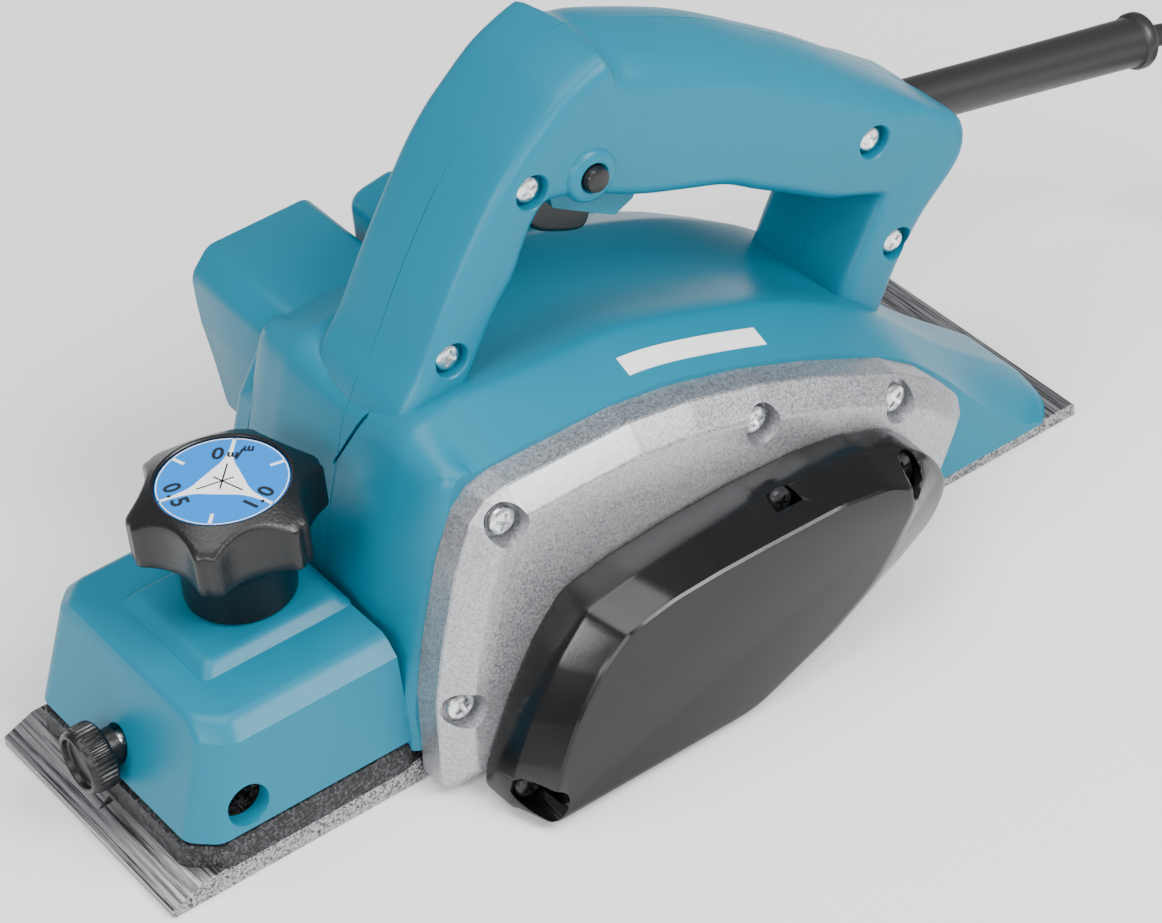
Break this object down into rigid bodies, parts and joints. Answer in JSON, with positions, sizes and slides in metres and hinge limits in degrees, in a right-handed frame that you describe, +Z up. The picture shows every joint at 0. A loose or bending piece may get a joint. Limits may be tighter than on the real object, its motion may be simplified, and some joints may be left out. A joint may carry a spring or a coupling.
{
  "type": "electric hand planer",
  "caption": "Hand-held electric planer with a D handle, a turning depth knob over a rising front sole, a belt-driven two-blade drum, side belt cover, chip duct and coiled power cord.",
  "frame": {"origin": "on the rear sole's face, on the tool's centre line, midway between the front and rear edges of the soles", "axes": "+X along the sole towards the nose, +Y towards the belt cover, which is the left side, +Z up"},
  "size_m": [0.4905, 0.1998, 0.1635],
  "materials": {
    "teal_plastic": "fine-textured moulded teal plastic",
    "black_plastic": "smooth black moulded plastic",
    "black_rubber": "flexible black rubber",
    "cast_silver": "silver painted die casting with a fine sparkle",
    "machined_aluminium": "machined sole with fine tool lines",
    "front_casting": "machined sole under a dark grey textured rim",
    "dial_blue": "printed blue scale disc",
    "white_label": "blank white sticker",
    "zinc_steel": "zinc plated steel",
    "black_steel": "blackened steel",
    "steel": "ground steel",
    "blade_steel": "ground carbide",
    "core_steel": "stacked steel sheets",
    "copper": "enamelled copper",
    "brass": "turned brass",
    "carbon": "pressed carbon"
  },
  "bodies": {
    "housing": {"main_housing": "teal_plastic", "chip_chute": "teal_plastic", "motor_end_cover": "teal_plastic", "front_cover_left": "teal_plastic", "front_cover_right": "teal_plastic", "knob_bush": "steel", "side_bracket": "cast_silver", "belt_cover": "black_plastic", "rear_base": "machined_aluminium", "handle_left": "teal_plastic", "handle_right": "teal_plastic", "handle_screws": "zinc_steel", "bracket_screws": "zinc_steel", "belt_cover_screws": "black_steel", "base_screws": "black_steel", "end_cover_screws": "zinc_steel", "drum_bearings": "steel", "motor_bearings": "steel", "motor_field": "core_steel", "field_coils": "copper", "brush_holders": "brass", "carbon_brushes": "carbon", "brush_caps": "black_plastic", "drive_belt": "black_rubber", "switch_body": "black_plastic", "trigger_pin": "steel", "cord_clamp": "black_plastic", "cord_guard": "black_rubber", "rating_label": "white_label", "knob_spring": "steel", "trigger_spring": "steel", "button_spring": "steel", "cord_lead": "black_rubber", "cord_coil": "black_rubber", "cord_tail": "black_rubber", "cable_tie": "black_plastic", "plug_body": "black_rubber", "plug_pins": "zinc_steel"},
    "front_base": {"front_base": "front_casting", "base_insert": "brass"},
    "depth_knob": {"depth_knob": "black_plastic", "knob_dial": "dial_blue", "knob_stud": "zinc_steel"},
    "thumb_screw": {"thumb_screw_head": "black_plastic", "thumb_screw_stem": "zinc_steel"},
    "drum": {"cutter_drum": "machined_aluminium", "planer_blades": "blade_steel", "blade_clamps": "black_steel", "blade_bolts": "zinc_steel", "drum_pulley": "machined_aluminium", "pulley_nut": "zinc_steel"},
    "motor": {"armature_shaft": "steel", "armature_core": "core_steel", "commutator": "copper", "cooling_fan": "black_plastic", "motor_pulley": "steel"},
    "trigger": {"trigger": "black_plastic"},
    "lock_button": {"lock_button": "black_plastic"}
  },
  "joints": [
    {"name": "depth_knob_turn", "type": "hinge", "parent": "housing", "child": "depth_knob", "pos_m": [0.0915, 0, 0.065], "axis": [0, 0, 1], "range_deg": [-240, 0]},
    {"name": "front_base_slide", "type": "slide", "parent": "housing", "child": "front_base", "axis": [0, 0, 1], "range_m": [0, 0.001], "deforming": ["knob_spring"]},
    {"name": "thumb_screw_turn", "type": "hinge", "parent": "front_base", "child": "thumb_screw", "pos_m": [0.14, 0, 0.0215], "axis": [1, 0, 0], "range_deg": [-360, 360]},
    {"name": "motor_spin", "type": "hinge", "parent": "housing", "child": "motor", "pos_m": [-0.038, 0, 0.038], "axis": [0, 1, 0], "continuous": true},
    {"name": "drum_spin", "type": "hinge", "parent": "housing", "child": "drum", "pos_m": [0.034, 0, 0.0224], "axis": [0, 1, 0], "continuous": true},
    {"name": "trigger_pull", "type": "hinge", "parent": "housing", "child": "trigger", "pos_m": [0.008, 0, 0.131], "axis": [0, 1, 0], "range_deg": [0, 7], "stiffness_Nm_per_rad": 0.5, "springref_deg": -5.73, "deforming": ["trigger_spring"]},
    {"name": "lock_button_push", "type": "slide", "parent": "housing", "child": "lock_button", "axis": [0, -1, 0], "range_m": [0, 0.003], "stiffness_N_per_m": 300, "springref_m": -0.002, "deforming": ["button_spring"]}
  ],
  "couplings": [
    {"joint": "depth_knob_turn", "follows": "front_base_slide", "rad_per_m": -4188.8},
    {"joint": "drum_spin", "follows": "motor_spin", "ratio": 0.82609}
  ]
}
